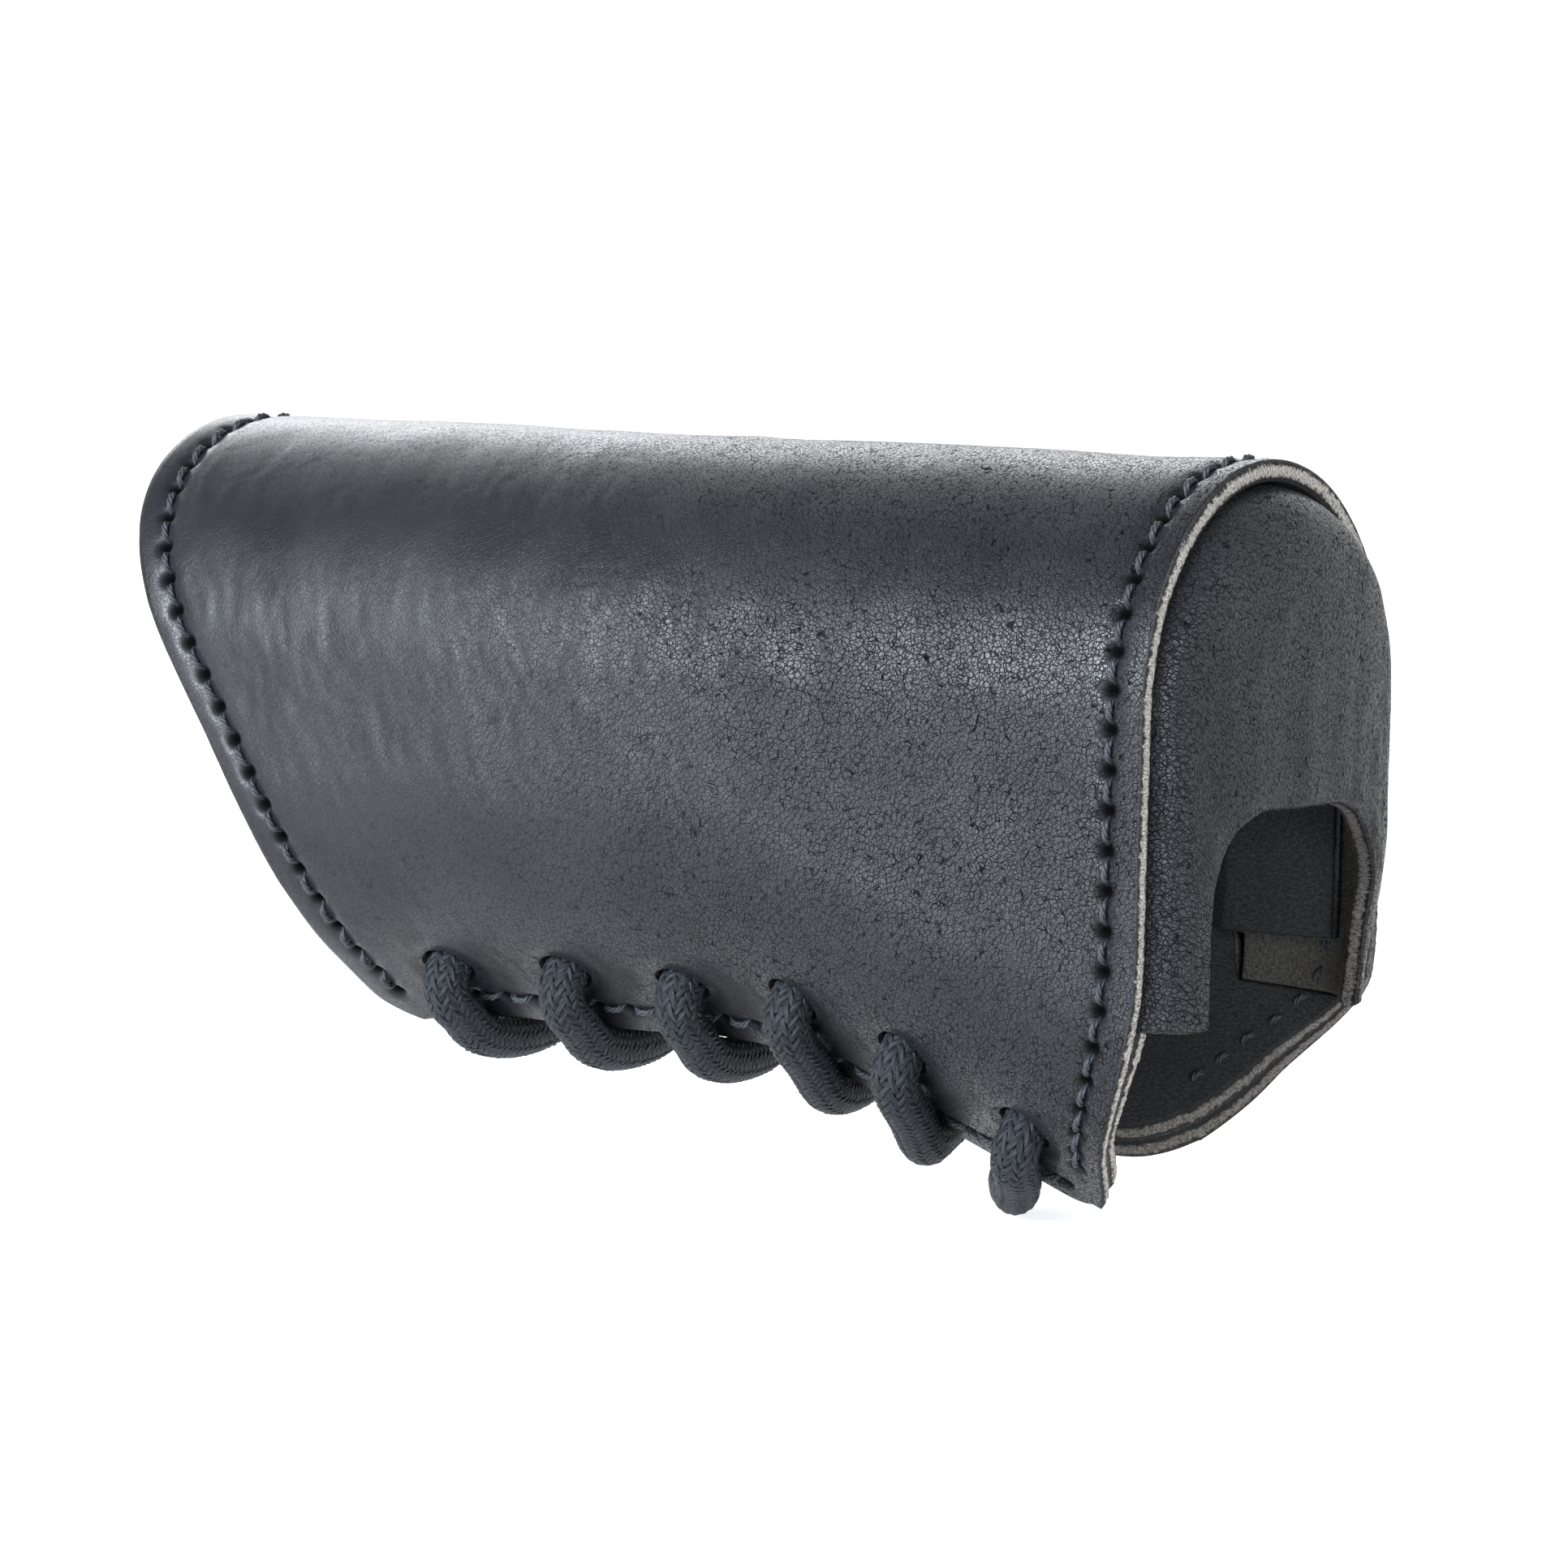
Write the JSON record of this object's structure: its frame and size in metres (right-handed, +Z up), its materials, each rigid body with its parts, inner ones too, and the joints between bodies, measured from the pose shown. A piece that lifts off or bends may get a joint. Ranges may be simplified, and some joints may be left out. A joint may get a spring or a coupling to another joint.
{
  "type": "leather grip cover",
  "caption": "Black leather slip-on grip cover: arched top, oblique open rear, moulded end cap with a U-shaped notch, edges laced underneath with cord.",
  "frame": {"origin": "middle of the bounding box seen from above, at the lowest point of the leather and lacing", "axes": "+X towards the capped front, along the level crest; +Y towards the side away from the viewer in the picture; +Z up, towards the crest"},
  "size_m": [0.1232, 0.0466, 0.0722],
  "materials": {
    "grained_leather": "satin, pebbled grain with raw grey edges",
    "cap_leather": "satin, fine grain, wet-moulded",
    "liner_suede": "matt suede",
    "facing_leather": "matt, raw edges",
    "waxed_cord": "braided cotton, lightly waxed",
    "sewing_thread": "twisted thread"
  },
  "bodies": {
    "root": {"outer_shell": "grained_leather", "end_cap": "cap_leather", "crown_liner": "liner_suede", "near_facing": "facing_leather", "far_facing": "facing_leather", "lace_cord": "waxed_cord", "front_needle_thread": "sewing_thread", "front_bobbin_thread": "sewing_thread", "rear_needle_thread": "sewing_thread", "rear_bobbin_thread": "sewing_thread", "near_edge_needle_thread": "sewing_thread", "near_edge_bobbin_thread": "sewing_thread", "far_edge_needle_thread": "sewing_thread", "far_edge_bobbin_thread": "sewing_thread"}
  },
  "joints": []
}
